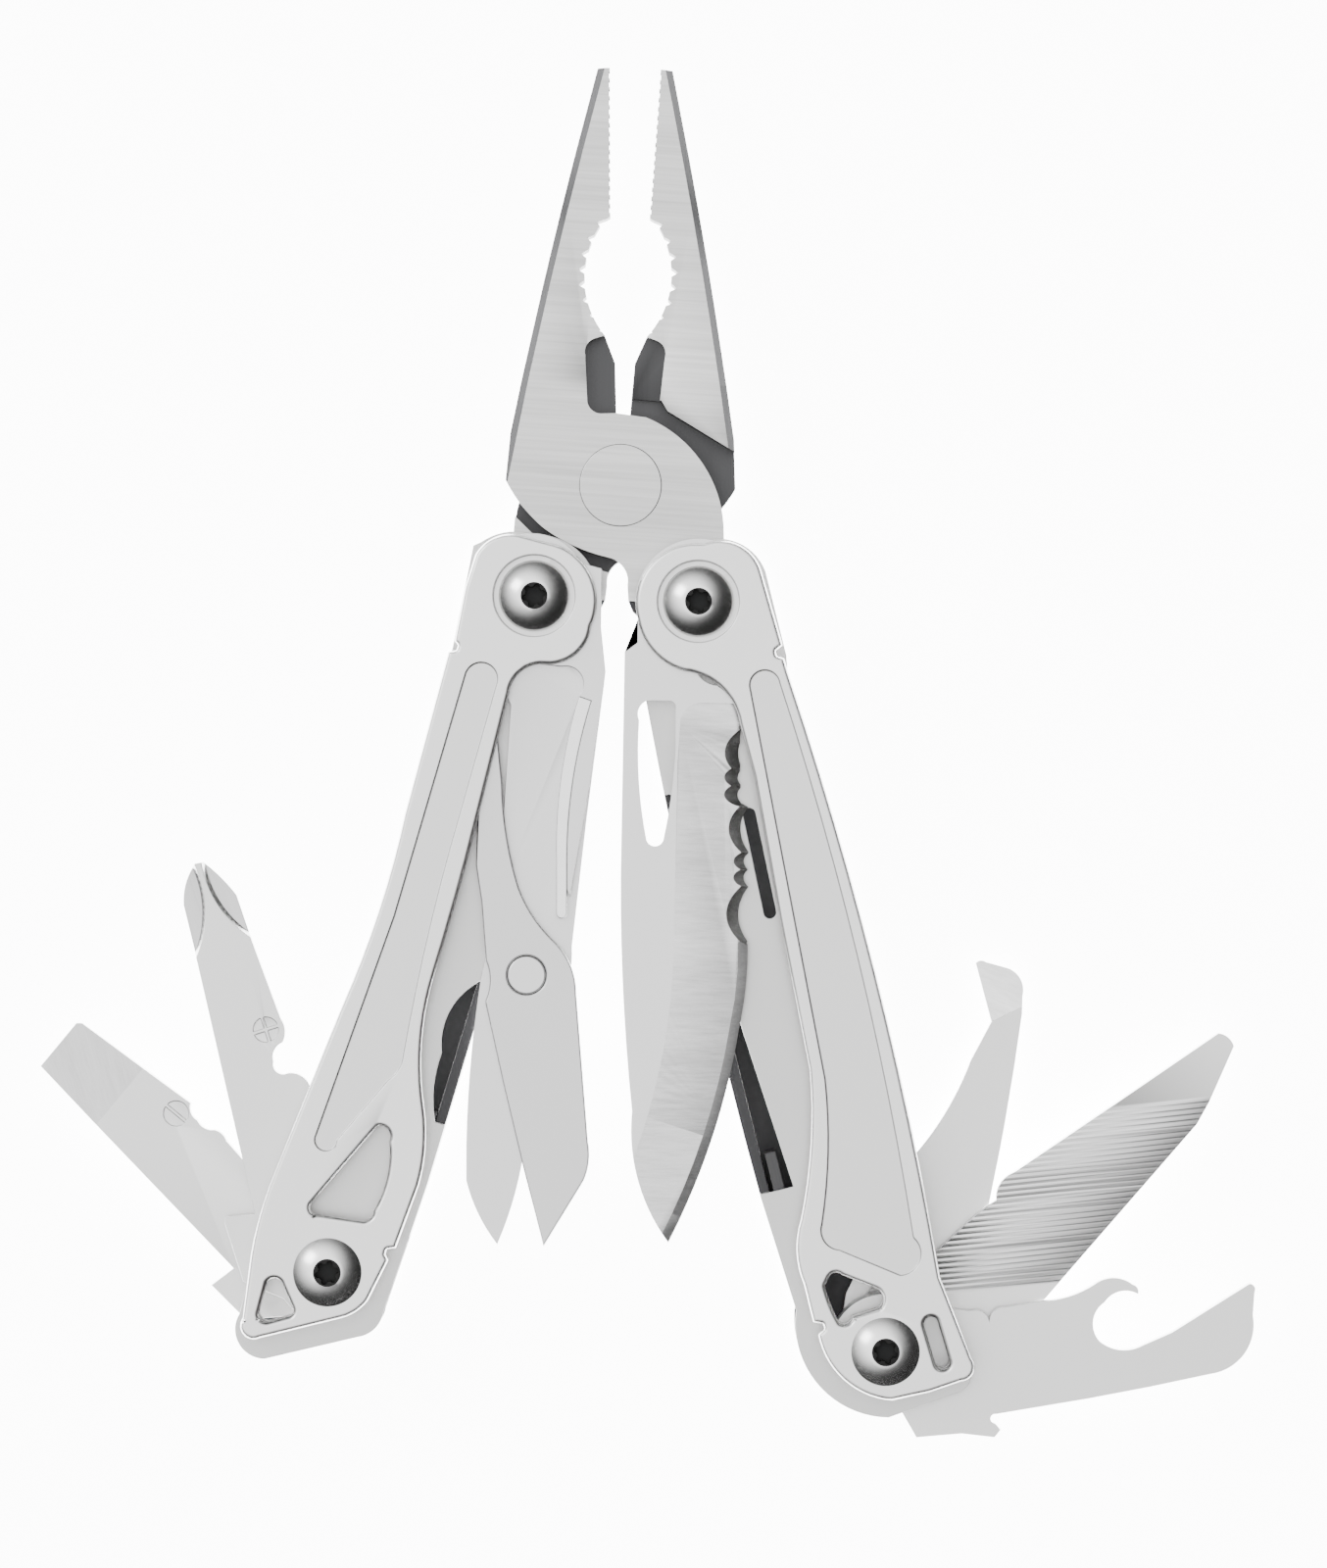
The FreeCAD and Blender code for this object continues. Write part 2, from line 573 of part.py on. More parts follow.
def edge_bevel(place, lean, length, side):
    """Sharpened bevel along one stretch of the plain edge."""
    high = KNIFE_THICK / 2 + 0.2
    points = [(-5.0, high), (0.1, 0.02), (1.5, 0.02), (1.5, high)]
    return leaning([(across, side * height) for across, height in points], place, lean, 0.02, length + 0.02)


def scallop(y, width, depth):
    """One serration: a slanting round cut in the front of the edge."""
    tip = 5.9 if y < -22 else 4.95
    lean = math.radians(SCALLOP_LEAN)
    rise = depth * math.tan(lean)
    radius = width * width / (8 * rise) + rise / 2
    along = Vector(math.cos(lean), 0, -math.sin(lean))
    low = Vector(tip - depth, y, KNIFE_MID - 0.3)
    start = low + Vector(math.sin(lean), 0, math.cos(lean)) * radius - along * 8
    return Part.makeCylinder(radius, 20, start, along)


def grind_zone(z0, z1):
    """Ground part of the blade, from the choil to the tip."""
    return plate(
        z0, z1,
        (8, -11.1), (0.7, -11.1), ((-1.2, -11.9), (-1.8, -13.6)), (-2.0, -17.5), (-2.1, -38.5),
        ((-3.4, -51.0), (-6.1, -61.0)), (-7.0, -66.0), (-2.0, -74.0), (8, -74.0))


# ---------------------------------------------------------------- scissors
SCISSOR_PIVOT = (-0.85, -41.6)
SCISSOR_RIVET_R = 2.1
Z_LEVER = Z_BLADE + 1.5


def scissors_base():
    """Fixed half of the scissors, turning on the left top pivot."""
    z0 = Z_BLADE + RUN
    z1 = Z_LEVER - RUN
    body = plate(
        z0, z1,
        (5.2, 3.6), (7.4, 3.0), (7.3, -3.4), (7.8, -8.3), (7.6, -10.0),
        ((5.6, -25.5), (4.1, -38.5)), ((3.6, -42.6), (1.9, -46.0)), ((-0.3, -57.5), (-1.4, -62.4)),
        ((-2.6, -67.2), (-4.1, -71.2)), ((-6.2, -67.8), (-7.5, -64.2)), (-7.5, -60.4),
        ((-7.0, -51.0), (-5.9, -42.0)), (-4.0, -33.0), (-2.6, -12.0), (-5.4, -5.2),
        ((-6.9, 0.4), (-3.0, 6.2)), ((1.6, 6.6), (5.2, 3.6)))
    return body.cut([disc(*SCISSOR_PIVOT, SCISSOR_RIVET_R, 0, 30),
                     disc(0, 0, TOP_BARREL_R + RUN + BUSH_WALL + RUN, 0, 30)])


def scissors_pad():
    """Thicker front layer of the fixed half: the pad round the pivot and its tapering edge."""
    z0 = Z_LEVER - RUN
    z1 = Z_COVER - RUN
    body = plate(
        z0, z1,
        (5.2, 3.6), (7.4, 3.0), (7.3, -3.4), (7.8, -8.3), (7.6, -10.0), (6.1, -20.6),
        (3.9, -33.0), (2.4, -29.0), ((2.9, -20.0), (4.9, -11.0)),
        ((4.8, -8.2), (3.0, -7.7)), (-1.6, -7.2), (-5.4, -5.2), ((-6.9, 0.4), (-3.0, 6.2)),
        ((1.6, 6.6), (5.2, 3.6)))
    return body.cut([disc(0, 0, TOP_BARREL_R + RUN + BUSH_WALL + RUN, 0, 30), scissors_spring()])


def scissors_spring():
    """Leaf that pushes the lever's arm away; it starts in the pad and runs down the fixed half."""
    return plate(
        Z_LEVER - RUN, Z_COVER - RUN,
        (6.3, -11.5), ((4.3, -20.0), (3.6, -29.0)), (3.6, -34.7), ((3.0, -35.4), (2.4, -34.7)),
        (2.4, -29.0), ((2.9, -20.0), (4.9, -11.0)))


def scissors_lever():
    """Front half of the scissors; its arm reaches up under the cover."""
    z0 = Z_LEVER + RUN
    z1 = Z_COVER - RUN
    body = plate(
        z0, z1,
        (-4.0, -15.5), (-3.5, -20.6), ((-2.8, -27.5), (-1.7, -32.0)), ((0.0, -35.3), (2.3, -38.0)),
        ((3.9, -40.3), (4.6, -43.6)), (5.9, -59.9), ((6.0, -62.0), (5.4, -64.2)), (1.0, -71.4),
        ((-2.6, -57.0), (-5.4, -44.5)), ((-4.9, -42.6), (-5.3, -40.0)), (-5.8, -33.5), (-6.4, -29.5),
        (-6.0, -16.5), ((-5.2, -15.4), (-4.6, -15.2)))
    return body.cut(disc(*SCISSOR_PIVOT, SCISSOR_RIVET_R + RUN, 0, 30))


def scissors_rivet():
    return disc(*SCISSOR_PIVOT, SCISSOR_RIVET_R, Z_BLADE + RUN, Z_COVER - RUN)


# ---------------------------------------------------------------- small tools
PACKAGE_Z = (Z_ROOM + 0.1, Z_ROOM + 1.6)
FILE_Z = (Z_ROOM + 2.2, Z_ROOM + 4.4)
CAN_Z = (Z_ROOM + 5.0, Z_ROOM + 7.2)
FLAT_Z = (Z_ROOM + 3.15, Z_ROOM + 5.55)
PHILLIPS_Z = (Z_ROOM + 6.35, Z_WALL - 0.1)
TOOL_BASE_R = 5.9


def with_base(body, levels):
    """Adds the round root of a tool and bores it for the end pivot."""
    whole = joined(body, disc(0, 0, TOOL_BASE_R, *levels))
    return whole.cut(disc(0, 0, END_BARREL_R + RUN, 0, 30))


SCOOP_R = 12.3
SCOOP_DEPTH = 0.7
SIGN_R = 1.4
SIGN_DEPTH = 0.15


def sign(x, y, top, crossed):
    """Sunk round field with a raised bar, or a raised cross, telling the two drivers apart."""
    bar = 0.17
    bars = [block(x - bar, x + bar, y - SIGN_R, y + SIGN_R, top - 1, top + 1)]
    if crossed:
        bars.append(block(x - SIGN_R, x + SIGN_R, y - bar, y + bar, top - 1, top + 1))
    field = disc(x, y, SIGN_R, top - SIGN_DEPTH, top + 1).cut(bars)
    return field.Solids


def phillips_driver():
    body = plate(
        *PHILLIPS_Z,
        (-0.4, 47.0), (0.5, 47.1), ((2.1, 45.4), (3.1, 43.1)), (3.5, 37.3), (5.9, 8.3), (9.1, 9.0),
        (9.4, 8.3), (9.4, 1.6), (4.0, -3.0), (-4.5, -3.0), (-5.8, 2.0), (-3.8, 19.0),
        ((-3.2, 21.6), (-2.2, 22.0)), ((-1.1, 22.5), (-1.1, 23.7)), ((-1.6, 24.9), (-2.7, 25.4)),
        ((-3.3, 26.4), (-3.3, 28.0)), (-2.9, 36.9), (-2.8, 42.4), ((-1.7, 44.9), (-0.4, 47.0)))
    body = with_base(body, PHILLIPS_Z)
    low = PHILLIPS_Z[0]
    high = PHILLIPS_Z[1]
    scoops = []
    for x in (0.45 + SCOOP_R, -0.1 - SCOOP_R):
        wall = 0.35
        down = Part.makeCone(SCOOP_R - wall, SCOOP_R + wall, 2 * SCOOP_DEPTH, Vector(x, 45.3, high - SCOOP_DEPTH))
        up = Part.makeCone(SCOOP_R + wall, SCOOP_R - wall, 2 * SCOOP_DEPTH, Vector(x, 45.3, low - SCOOP_DEPTH))
        scoops.extend([down, up])
    return body.cut(scoops + sign(-1.4, 27.3, high, True))


def flat_driver():
    body = plate(
        *FLAT_Z,
        (3.3, 38.9), (-2.9, 38.9), (-3.3, 38.4), (-4.2, 23.5), ((-3.4, 22.8), (-3.2, 21.7)),
        ((-3.1, 20.4), (-3.6, 19.6)), ((-3.8, 18.7), (-3.5, 17.8)), (-3.1, 15.1), (-5.8, 3.0),
        (-4.5, -3.0), (4.0, -3.0), (10.3, 3.6), (9.8, 8.9), (6.8, 8.2))
    body = with_base(body, FLAT_Z)
    low = FLAT_Z[0]
    high = FLAT_Z[1]
    wedge_front = side_prism([(30, high), (39.5, high - 0.85), (39.5, high + 1), (30, high + 1)], -8, 8)
    wedge_back = side_prism([(30, low), (39.5, low + 0.85), (39.5, low - 1), (30, low - 1)], -8, 8)
    return body.cut([wedge_front, wedge_back] + sign(-2.3, 24.0, high, False))


def package_opener():
    body = plate(
        *PACKAGE_Z,
        (-4.6, 43.3), ((-4.3, 43.7), (-3.6, 43.8)), (-1.0, 44.0), ((0.7, 43.3), (1.5, 41.6)),
        (2.1, 39.8), ((4.2, 29.0), (5.8, 18.8)), (6.4, 8.0), (4.0, -3.0), (-4.5, -3.0), (-5.8, 4.0),
        (-3.8, 21.0), ((-2.2, 26.5), (-1.5, 33.0)), (-0.8, 37.8))
    body = with_base(body, PACKAGE_Z)
    high = PACKAGE_Z[1]
    lip = side_prism([(0, high - 0.2), (7.5, high - 1.0), (7.5, high + 1), (0, high + 1)], -8, 8)
    lip.rotate(ORIGIN, UP, 45)
    lip.translate(Vector(-0.8, 37.8, 0))
    return body.cut(lip)


def file_tool():
    body = plate(
        *FILE_Z,
        (-1.1, 50.7), ((0.0, 51.2), (1.1, 51.0)), (3.9, 44.8), (4.8, 42.2), (8.0, 16.7), (8.4, 8.0),
        (4.0, -3.0), (-4.5, -3.0), (-5.8, 4.0), (-3.9, 11.0), (-4.0, 17.3), (-3.7, 20.1),
        ((-4.7, 21.4), (-4.7, 23.6)), (-2.1, 42.9))
    body = with_base(body, FILE_Z)
    ridges = []
    high = FILE_Z[1]
    for index in range(31):
        ridge = side_prism([(-0.5, high + 0.02), (-0.15, high - 0.16), (0.4, high + 0.02)], -14, 14)
        ridge.rotate(Vector(0, 0, high), UP, 54.0)
        ridge.translate(Vector(1.5, 11.5 + index * 1.02, 0))
        ridges.append(ridge)
    return body.cut(ridges)


def can_opener():
    body = plate(
        *CAN_Z,
        (-3.0, 8.1), (-2.4, 10.2), ((-1.9, 11.6), (-0.9, 11.9)), ((-2.0, 12.6), (-2.2, 14.0)),
        (-2.2, 18.3), ((-2.4, 21.8), (-3.1, 24.0)), ((-3.4, 26.6), (-2.4, 28.2)),
        ((-1.7, 28.7), (-1.3, 28.6)), ((-1.9, 26.6), (-1.0, 24.8)), ((0.9, 23.2), (3.2, 23.6)),
        ((4.4, 25.4), (4.4, 28.1)), (3.5, 31.6), (-0.4, 40.9), ((0.0, 41.4), (0.6, 41.3)),
        (3.1, 40.7), ((7.2, 39.0), (8.7, 35.1)), ((9.1, 25.2), (9.2, 14.3)), (9.2, 11.0),
        ((9.6, 10.3), (10.2, 10.7)), (11.0, 11.2), (11.7, 10.4), (10.7, 6.9), (10.3, 1.9),
        (6.0, 0.3), (4.0, -3.0), (-4.5, -3.0), (-5.8, 2.0))
    return with_base(body, CAN_Z)


def spacer(reach, z0, z1):
    return ring(0, -reach, END_BARREL_R + 1.8, END_BARREL_R, z0 + RUN, z1 - RUN)


# ---------------------------------------------------------------- the assembly
def right_tool(shape, name):
    return on_right(fanned(shape, RIGHT_REACH, TURN_OUT[name]))


def left_tool(shape, name):
    return on_left(fanned(shape, LEFT_REACH, TURN_OUT[name]))


def on_scissors(shape):
    return moved(turned(shape, SCISSOR_LEAN), *LEFT_PIVOT)


def build():
    nodes = {}
    nodes["left_jaw"] = left_jaw()
    nodes["right_jaw"] = right_jaw()
    nodes["jaw_rivet"] = jaw_rivet()
    nodes["right_tang_spring"] = turned(tang_spring(), JAW_OPEN)
    nodes["left_tang_spring"] = turned(mirrored(tang_spring()), -JAW_OPEN)
    nodes["right_cover"] = on_right(right_cover())
    nodes["left_cover"] = on_left(left_cover())
    nodes["right_channel"] = on_right(right_channel())
    nodes["left_channel"] = on_left(left_channel())
    seat = 0.5
    for side, place, reach in (("right", on_right, RIGHT_REACH), ("left", on_left, LEFT_REACH)):
        nodes[side + "_top_screw"] = place(screw(0, TOP_HEAD_R, seat))
        nodes[side + "_end_screw"] = place(screw(-reach, END_HEAD_R, 0))
        nodes[side + "_top_nut"] = place(nut(0, TOP_BARREL_R, seat))
        nodes[side + "_end_nut"] = place(nut(-reach, END_BARREL_R, 0))
        nodes[side + "_pivot_bush"] = place(bush())
    nodes["right_back_spring"] = on_right(back_spring(RIGHT_REACH, -7.6, -6.4, 24.0 - RIGHT_REACH))
    nodes["left_back_spring"] = on_left(back_spring(LEFT_REACH, -6.35, -5.95, 20.0 - LEFT_REACH))
    nodes["knife_blade"] = moved(turned(knife_blade(), KNIFE_LEAN), *RIGHT_PIVOT)
    nodes["scissors_base"] = on_scissors(joined(scissors_base(), scissors_pad()))
    nodes["scissors_spring"] = on_scissors(scissors_spring())
    nodes["scissors_lever"] = on_scissors(scissors_lever())
    nodes["scissors_rivet"] = on_scissors(scissors_rivet())
    nodes["phillips_driver"] = left_tool(phillips_driver(), "phillips")
    nodes["flat_driver"] = left_tool(flat_driver(), "flat")
    nodes["package_opener"] = right_tool(package_opener(), "package")
    nodes["file"] = right_tool(file_tool(), "file")
    nodes["can_opener"] = right_tool(can_opener(), "can")
    right_gaps = [(PACKAGE_Z[1], FILE_Z[0]), (FILE_Z[1], CAN_Z[0]), (CAN_Z[1], Z_WALL)]
    left_gaps = [(Z_ROOM, FLAT_Z[0]), (FLAT_Z[1], PHILLIPS_Z[0])]
    for index, (z0, z1) in enumerate(right_gaps):
        nodes["right_spacer_%d" % (index + 1)] = on_right(spacer(RIGHT_REACH, z0, z1))
    for index, (z0, z1) in enumerate(left_gaps):
        nodes["left_spacer_%d" % (index + 1)] = on_left(spacer(LEFT_REACH, z0, z1))
    return nodes


def export(nodes):
    """Moves the resting face's middle to the origin and writes one file per node."""
    points = []
    for shape in nodes.values():
        points.extend(shape.tessellate(0.02)[0])
    xs = [point.x for point in points]
    ys = [point.y for point in points]
    lowest = min(point.z for point in points)
    shift = Vector(-0.5 * (min(xs) + max(xs)), -0.5 * (min(ys) + max(ys)), -lowest)
    print("origin moved by", shift)
    os.makedirs("parts", exist_ok=True)
    for name, shape in nodes.items():
        placed = shape.copy()
        placed.translate(shift)
        if not placed.isValid() or len(placed.Solids) != 1:
            print("look at", name, placed.isValid(), len(placed.Solids))
        placed.exportStep("parts/%s.step" % name)


export(build())
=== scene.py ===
import json
import math

import bmesh
import bpy
import numpy as np
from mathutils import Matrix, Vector


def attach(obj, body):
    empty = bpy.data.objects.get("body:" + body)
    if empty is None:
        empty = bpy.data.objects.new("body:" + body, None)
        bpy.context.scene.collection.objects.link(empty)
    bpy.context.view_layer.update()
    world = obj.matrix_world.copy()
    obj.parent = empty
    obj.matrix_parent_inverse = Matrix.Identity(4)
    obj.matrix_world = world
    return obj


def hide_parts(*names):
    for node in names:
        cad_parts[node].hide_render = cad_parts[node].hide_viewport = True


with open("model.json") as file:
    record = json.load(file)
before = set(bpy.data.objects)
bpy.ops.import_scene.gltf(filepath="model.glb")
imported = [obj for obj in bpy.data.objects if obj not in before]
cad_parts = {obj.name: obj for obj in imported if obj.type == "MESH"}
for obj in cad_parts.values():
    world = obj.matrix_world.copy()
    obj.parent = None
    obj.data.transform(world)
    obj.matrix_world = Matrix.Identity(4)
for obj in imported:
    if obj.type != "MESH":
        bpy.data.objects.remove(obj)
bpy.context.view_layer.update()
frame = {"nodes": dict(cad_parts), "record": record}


# ---------------------------------------------------------------- pliers
# Two identical forged halves lapped at a flush rivet. The flat faces are ground
# straight across; the bevels, teeth, wire cutter, lapped sides and the faces below
# the lap are painted near-black, a painted shade for the shadow they lie in.
nodes = frame["nodes"]
body_of_node = {}
for body_name, names in frame["record"]["behaviour"]["bodies"].items():
    for node_name in names:
        body_of_node[node_name] = body_name
slot_of_node = {s["node"]: s["material_slot"] for s in frame["record"]["subparts"]}
mm = 0.001


class Soc:
    def __init__(self, tree, socket):
        self.tree = tree
        self.socket = socket

    def math(self, kind, *values):
        """A Math node of the given kind on this value and the others."""
        node = self.tree.nodes.new("ShaderNodeMath")
        node.operation = kind
        for place, value in zip(node.inputs, values):
            if isinstance(value, Soc):
                self.tree.links.new(value.socket, place)
            else:
                place.default_value = value
        return Soc(self.tree, node.outputs[0])

    def __add__(self, other):
        return self.math("ADD", self, other)

    def __mul__(self, other):
        return self.math("MULTIPLY", self, other)


class Finish:
    """A material being put together: node() makes any node, output() joins it to the shader."""

    def __init__(self, name, **fixed):
        self.material = bpy.data.materials.new(name)
        self.material.use_nodes = True
        self.tree = self.material.node_tree
        self.shader = self.tree.nodes["Principled BSDF"]
        for key, value in fixed.items():
            self.shader.inputs[key.replace("_", " ")].default_value = value

    def node(self, kind, settings=None, output=0, **values):
        """Makes a node, sets its settings, then its sockets by name, and gives one output."""
        made = self.tree.nodes.new(kind)
        for key, value in (settings or {}).items():
            if key == "stops":
                ramp = made.color_ramp
                while len(ramp.elements) < len(value):
                    ramp.elements.new(0.5)
                for element, (position, shade) in zip(ramp.elements, value):
                    element.position = position
                    element.color = (shade, shade, shade, 1)
            else:
                setattr(made, key, value)
        for key, value in values.items():
            numbered = key[0] == "i" and key[1:].isdigit()
            place = made.inputs[int(key[1:]) if numbered else key.replace("_", " ")]
            if isinstance(value, Soc):
                self.tree.links.new(value.socket, place)
            else:
                place.default_value = value
        return Soc(self.tree, made.outputs[output])

    def place(self, stretch=(1, 1, 1), turn=0.0, at=(0, 0, 0)):
        """Object coordinates turned about Z by an angle in degrees, then stretched."""
        where = self.node("ShaderNodeTexCoord", output=3)
        spin = (0, 0, math.radians(turn))
        turned = self.node("ShaderNodeMapping", Vector=where, Location=at, Rotation=spin)
        return self.node("ShaderNodeMapping", Vector=turned, Scale=stretch)

    def noise(self, scale, detail=2.0, rough=0.5, **where):
        spot = self.place(**where)
        return self.node("ShaderNodeTexNoise", Vector=spot, Scale=scale, Detail=detail, Roughness=rough)

    def ramp(self, value, *stops):
        return self.node("ShaderNodeValToRGB", {"stops": stops}, Fac=value)

    def blend(self, amount, first, second):
        """Mix of two colours by an amount from 0 to 1."""
        mix = self.tree.nodes.new("ShaderNodeMix")
        mix.data_type = "RGBA"
        for index, value in ((0, amount), (6, first), (7, second)):
            if isinstance(value, Soc):
                self.tree.links.new(value.socket, mix.inputs[index])
            elif index == 0:
                mix.inputs[index].default_value = value
            else:
                mix.inputs[index].default_value = (*value, 1)
        return Soc(self.tree, mix.outputs[2])

    def output(self, **sockets):
        for key, value in sockets.items():
            self.tree.links.new(value.socket, self.shader.inputs[key.replace("_", " ")])
        return self.material

    def bump(self, height, depth, strength=1.0):
        return self.node("ShaderNodeBump", Height=height, Distance=depth, Strength=strength)


def brushed(name, turn, tone, rough, line=0.5, depth=0.006, along=90.0, across=5200.0):
    """Ground steel. Long thin noise streaks run along one direction: they lighten and
    darken the metal a little, vary its gloss, and raise fine ridges."""
    f = Finish(name, Metallic=1.0)
    streak = f.noise(1.0, detail=3.0, rough=0.6, stretch=(along, across, across), turn=turn)
    band = f.noise(1.0, detail=1.0, stretch=(along * 0.3, across * 0.12, across * 0.12), turn=turn)
    cloud = f.noise(55.0, detail=2.0)
    level = streak * line + band * (0.6 * line) + (0.5 - 0.8 * line)
    darker = tuple(0.62 * c for c in tone)
    lighter = tuple(min(1.0, 1.18 * c) for c in tone)
    shade = f.blend(level, darker, lighter)
    gloss = streak * 0.16 + cloud * 0.10 + (rough - 0.13)
    return f.output(Base_Color=shade, Roughness=gloss, Normal=f.bump(streak + band * 0.5, depth * mm))


def finished(name, material, width=0.12, segments=2, angle=28.0, zones=(), heavy=None):
    """A worked copy of a CAD piece. Its facets are merged and each sharp edge is eased
    by a rounded bevel, width in millimetres; heavy(edge) scales it for one edge.
    zones are (material, test of a face) pairs for faces worked differently."""
    mesh = nodes[name].data.copy()
    mesh.materials.clear()
    for each in [material] + [other for other, belongs in zones]:
        mesh.materials.append(each)
    work = bmesh.new()
    work.from_mesh(mesh)
    bmesh.ops.remove_doubles(work, verts=work.verts, dist=2e-6)
    bmesh.ops.dissolve_limit(work, angle_limit=math.radians(0.6), verts=work.verts, edges=work.edges)
    for face in work.faces:
        face.material_index = 0
        for index, (other, belongs) in enumerate(zones):
            if belongs(face):
                face.material_index = index + 1
    if heavy:
        weight = work.edges.layers.float.new("bevel_weight_edge")
        for edge in work.edges:
            sharp = len(edge.link_faces) == 2 and edge.calc_face_angle() > math.radians(angle)
            edge[weight] = heavy(edge) if sharp else 0.0
    work.to_mesh(mesh)
    work.free()
    mesh.polygons.foreach_set("use_smooth", np.ones(len(mesh.polygons), dtype=bool))
    mesh.set_sharp_from_angle(angle=math.radians(angle))
    piece = bpy.data.objects.new(name + "_worked", mesh)
    bpy.context.scene.collection.objects.link(piece)
    ease = piece.modifiers.new("eased_edges", "BEVEL")
    ease.width = width * mm
    ease.segments = segments
    ease.limit_method = "WEIGHT" if heavy else "ANGLE"
    ease.angle_limit = math.radians(angle)
    ease.harden_normals = True
    ease.miter_outer = "MITER_ARC"
    ease.use_clamp_overlap = not heavy
    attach(piece, body_of_node[name])
    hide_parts(name)
    return piece


jaw_finish = brushed(
    "jaw_ground_steel", 2.0, (0.60, 0.60, 0.595), 0.34, line=1.1, depth=0.012, along=45.0, across=2600.0)
# Painted shade: a near-black tone on the jaws' sides, bevels and faces below the lap stands in for the
# shadow there.
jaw_painted_shade = brushed("jaw_painted_shade_steel", 88.0, (0.07, 0.07, 0.072), 0.40, line=0.5, along=60.0, across=3800.0)
rivet_finish = brushed(
    "rivet_ground_steel", 2.0, (0.62, 0.62, 0.615), 0.32, line=1.0, depth=0.012, along=45.0, across=2600.0)
lap_height = 6.4 * mm
lap_reach = 1.8 * mm
boss_top = 46.0 * mm


def jaw_faces_in_painted_shade(face):
    """Sides, bevels and everything below the lap between the two halves: the faces painted near-black as
    shade.
    """
    at = face.calc_center_median()
    lower = at.y < boss_top and at.z < lap_height + lap_reach
    return abs(face.normal.z) < 0.86 or (face.normal.z > 0 and lower)


for name in ("left_jaw", "right_jaw"):
    finished(name, jaw_finish, 0.10, zones=[(jaw_painted_shade, jaw_faces_in_painted_shade)])
finished("jaw_rivet", rivet_finish, 0.14)
# The springs' own darker steel plus painted shade: near-black for the deep shadow between the tangs and
# inside the handles.
spring_dark_and_painted_shade = brushed("dark_spring_steel", 75.0, (0.07, 0.07, 0.072), 0.42, line=0.5)
for name in ("right_tang_spring", "left_tang_spring", "right_back_spring", "left_back_spring"):
    finished(name, spring_dark_and_painted_shade, 0.08)


# ---------------------------------------------------------------- handles
# Pressed stainless sheet: a cover with a turned edge over a U channel.
# Blasted satin all over, with painted shade: the pocket floors inside the channels are near-black; the
# turned edge is rounded, the others only eased.
def satin(name, tone, rough, grain_size=6500.0):
    """Blasted sheet. Very fine round grain, with faint clouding in gloss and tone."""
    f = Finish(name, Metallic=1.0)
    grain = f.noise(grain_size, detail=2.0, rough=0.7)
    cloud = f.noise(38.0, detail=3.0)
    darker = tuple(0.93 * c for c in tone)
    lighter = tuple(min(1.0, 1.06 * c) for c in tone)
    shade = f.blend(cloud * 0.5 + grain * 0.3, darker, lighter)
    gloss = grain * 0.10 + cloud * 0.08 + (rough - 0.09)
    return f.output(Base_Color=shade, Roughness=gloss, Normal=f.bump(grain, 0.004 * mm))


sheet_finish = satin("cover_satin_steel", (0.76, 0.76, 0.755), 0.33)
panel_finish = satin("cover_panel_steel", (0.70, 0.70, 0.695), 0.38, 5200.0)
channel_finish = satin("channel_satin_steel", (0.56, 0.56, 0.555), 0.36)
cover_top = 15.7 * mm
cover_under = 14.5 * mm


def sunk(face):
    """The field pressed a little below the cover's front."""
    z = face.calc_center_median().z
    return face.normal.z > 0.99 and cover_under < z < cover_top - 0.1 * mm


def turned_edge(edge):
    """Full rounding all round the front of the sheet, a quarter at the sunk field and below."""
    on_top = min(v.co.z for v in edge.verts) > cover_top - 0.02 * mm
    deep = min(v.co.z for face in edge.link_faces for v in face.verts) < cover_under + 0.1 * mm
    return 1.0 if on_top and deep else 0.25


for name in ("right_cover", "left_cover"):
    finished(name, sheet_finish, 0.5, 4, zones=[(panel_finish, sunk)], heavy=turned_edge)
pocket_top = 10.5 * mm
# Painted shade: a near-black tone on the pocket floors stands in for the deep shadow inside the channels.
pocket_painted_shade = satin("channel_pocket_painted_shade", (0.05, 0.05, 0.052), 0.45)


def inside(face):
    """Floor of the pocket and everything looking up from below the wall: painted near-black as shade."""
    return face.normal.z > 0.5 and face.calc_center_median().z < pocket_top


for name in ("right_channel", "left_channel"):
    finished(name, channel_finish, 0.25, 3, zones=[(pocket_painted_shade, inside)])


# ---------------------------------------------------------------- pivots
# Turned and polished domed screws in barrel nuts, their driver sockets painted near-black as shade; plain
# washers between tools.
def turned_bright(name, tone, rough):
    """Lathe-turned steel: fine noise only, high gloss."""
    f = Finish(name, Metallic=1.0)
    grain = f.noise(2600.0, detail=2.0)
    cloud = f.noise(300.0, detail=2.0)
    darker = tuple(0.92 * c for c in tone)
    lighter = tuple(min(1.0, 1.06 * c) for c in tone)
    shade = f.blend(cloud, darker, lighter)
    gloss = grain * 0.07 + cloud * 0.06 + (rough - 0.06)
    return f.output(Base_Color=shade, Roughness=gloss, Normal=f.bump(grain, 0.0004 * mm))


screw_finish = turned_bright("screw_polished_steel", (0.78, 0.78, 0.775), 0.24)
